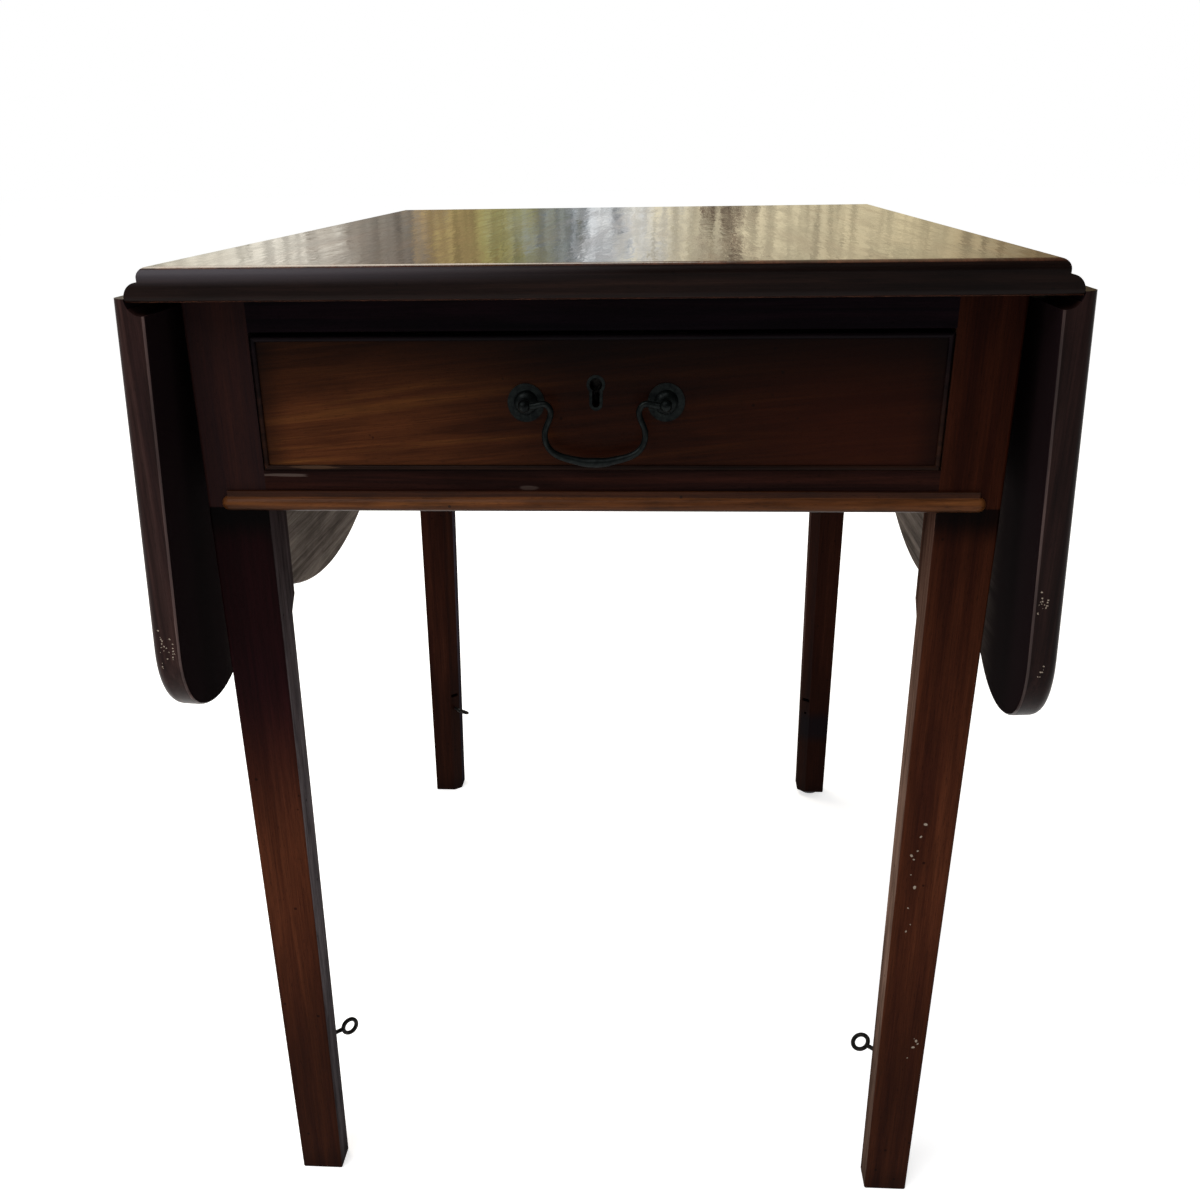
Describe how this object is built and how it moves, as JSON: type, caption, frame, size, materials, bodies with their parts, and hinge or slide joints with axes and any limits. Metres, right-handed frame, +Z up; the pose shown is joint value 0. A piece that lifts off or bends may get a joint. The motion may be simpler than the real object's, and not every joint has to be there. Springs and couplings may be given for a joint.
{
  "type": "drop-leaf side table",
  "caption": "Drop-leaf side table with hanging rule-jointed leaves, an end drawer with a swan-neck handle, shaped leaf edges and square tapered legs.",
  "frame": {"origin": "on the floor, midway between the legs", "axes": "+Z up, -Y towards the drawer end, +X to the right seen from the drawer end"},
  "size_m": [0.5966, 0.846, 0.71],
  "materials": {
    "polished_mahogany": "polished",
    "aged_mahogany": "waxed, darkened",
    "drawer_mahogany": "waxed",
    "oak_lining": "bare, dry",
    "bare_side_wood": "bare, dusty",
    "aged_brass": "dark patina",
    "black_iron": "old, blackened"
  },
  "bodies": {
    "frame": {"drawer_kicker_left": "oak_lining", "drawer_kicker_right": "oak_lining", "drawer_runner_left": "oak_lining", "drawer_runner_right": "oak_lining", "drawer_stops": "oak_lining", "dummy_drawer_beads": "drawer_mahogany", "fly_bracket_left": "bare_side_wood", "fly_bracket_right": "bare_side_wood", "fly_pins": "black_iron", "fly_rail_left": "bare_side_wood", "fly_rail_right": "bare_side_wood", "fly_stop_rail_left": "bare_side_wood", "fly_stop_rail_right": "bare_side_wood", "front_bottom_rail": "aged_mahogany", "front_left_leg": "aged_mahogany", "front_moulding": "aged_mahogany", "front_right_leg": "aged_mahogany", "front_top_rail": "aged_mahogany", "hinge_pins": "black_iron", "hinge_top_plates_left": "black_iron", "hinge_top_plates_right": "black_iron", "inner_side_rail_left": "bare_side_wood", "inner_side_rail_right": "bare_side_wood", "rear_handle_posts": "aged_brass", "rear_handle_rosettes": "aged_brass", "rear_left_leg": "aged_mahogany", "rear_moulding": "aged_mahogany", "rear_rail": "aged_mahogany", "rear_right_glide": "black_iron", "rear_right_leg": "aged_mahogany", "screw_eye_front_left": "black_iron", "screw_eye_front_right": "black_iron", "screw_eye_rear_left": "black_iron", "top_board": "polished_mahogany", "top_screws": "black_iron"},
    "left_leaf": {"left_leaf": "polished_mahogany", "hinge_leaf_plates_left": "black_iron"},
    "right_leaf": {"right_leaf": "polished_mahogany", "hinge_leaf_plates_right": "black_iron"},
    "drawer": {"drawer_front": "drawer_mahogany", "cock_bead_top": "drawer_mahogany", "cock_bead_bottom": "drawer_mahogany", "cock_bead_left": "drawer_mahogany", "cock_bead_right": "drawer_mahogany", "drawer_side_left": "oak_lining", "drawer_side_right": "oak_lining", "drawer_back": "oak_lining", "drawer_bottom": "oak_lining", "escutcheon": "aged_brass", "lock_case": "black_iron", "handle_rosettes": "aged_brass", "handle_posts": "aged_brass"},
    "lock_bolt": {"lock_bolt": "black_iron"},
    "handle_bail": {"handle_bail": "aged_brass"},
    "rear_handle_bail": {"rear_handle_bail": "aged_brass"}
  },
  "joints": [
    {"name": "left_leaf_hinge", "type": "hinge", "parent": "frame", "child": "left_leaf", "pos_m": [-0.2672, 0, 0.6926], "axis": [0, 1, 0], "range_deg": [0, 87.1]},
    {"name": "right_leaf_hinge", "type": "hinge", "parent": "frame", "child": "right_leaf", "pos_m": [0.2672, 0, 0.6926], "axis": [0, -1, 0], "range_deg": [0, 87.1]},
    {"name": "drawer_slide", "type": "slide", "parent": "frame", "child": "drawer", "axis": [0, -1, 0], "range_m": [0, 0.32]},
    {"name": "handle_bail_swing", "type": "hinge", "parent": "drawer", "child": "handle_bail", "pos_m": [0, -0.4025, 0.628], "axis": [-1, 0, 0], "range_deg": [-15, 95]},
    {"name": "rear_handle_bail_swing", "type": "hinge", "parent": "frame", "child": "rear_handle_bail", "pos_m": [0, 0.4025, 0.628], "axis": [1, 0, 0], "range_deg": [-15, 95]},
    {"name": "lock_bolt_throw", "type": "slide", "parent": "drawer", "child": "lock_bolt", "axis": [0, 0, 1], "range_m": [0, 0.007]}
  ]
}
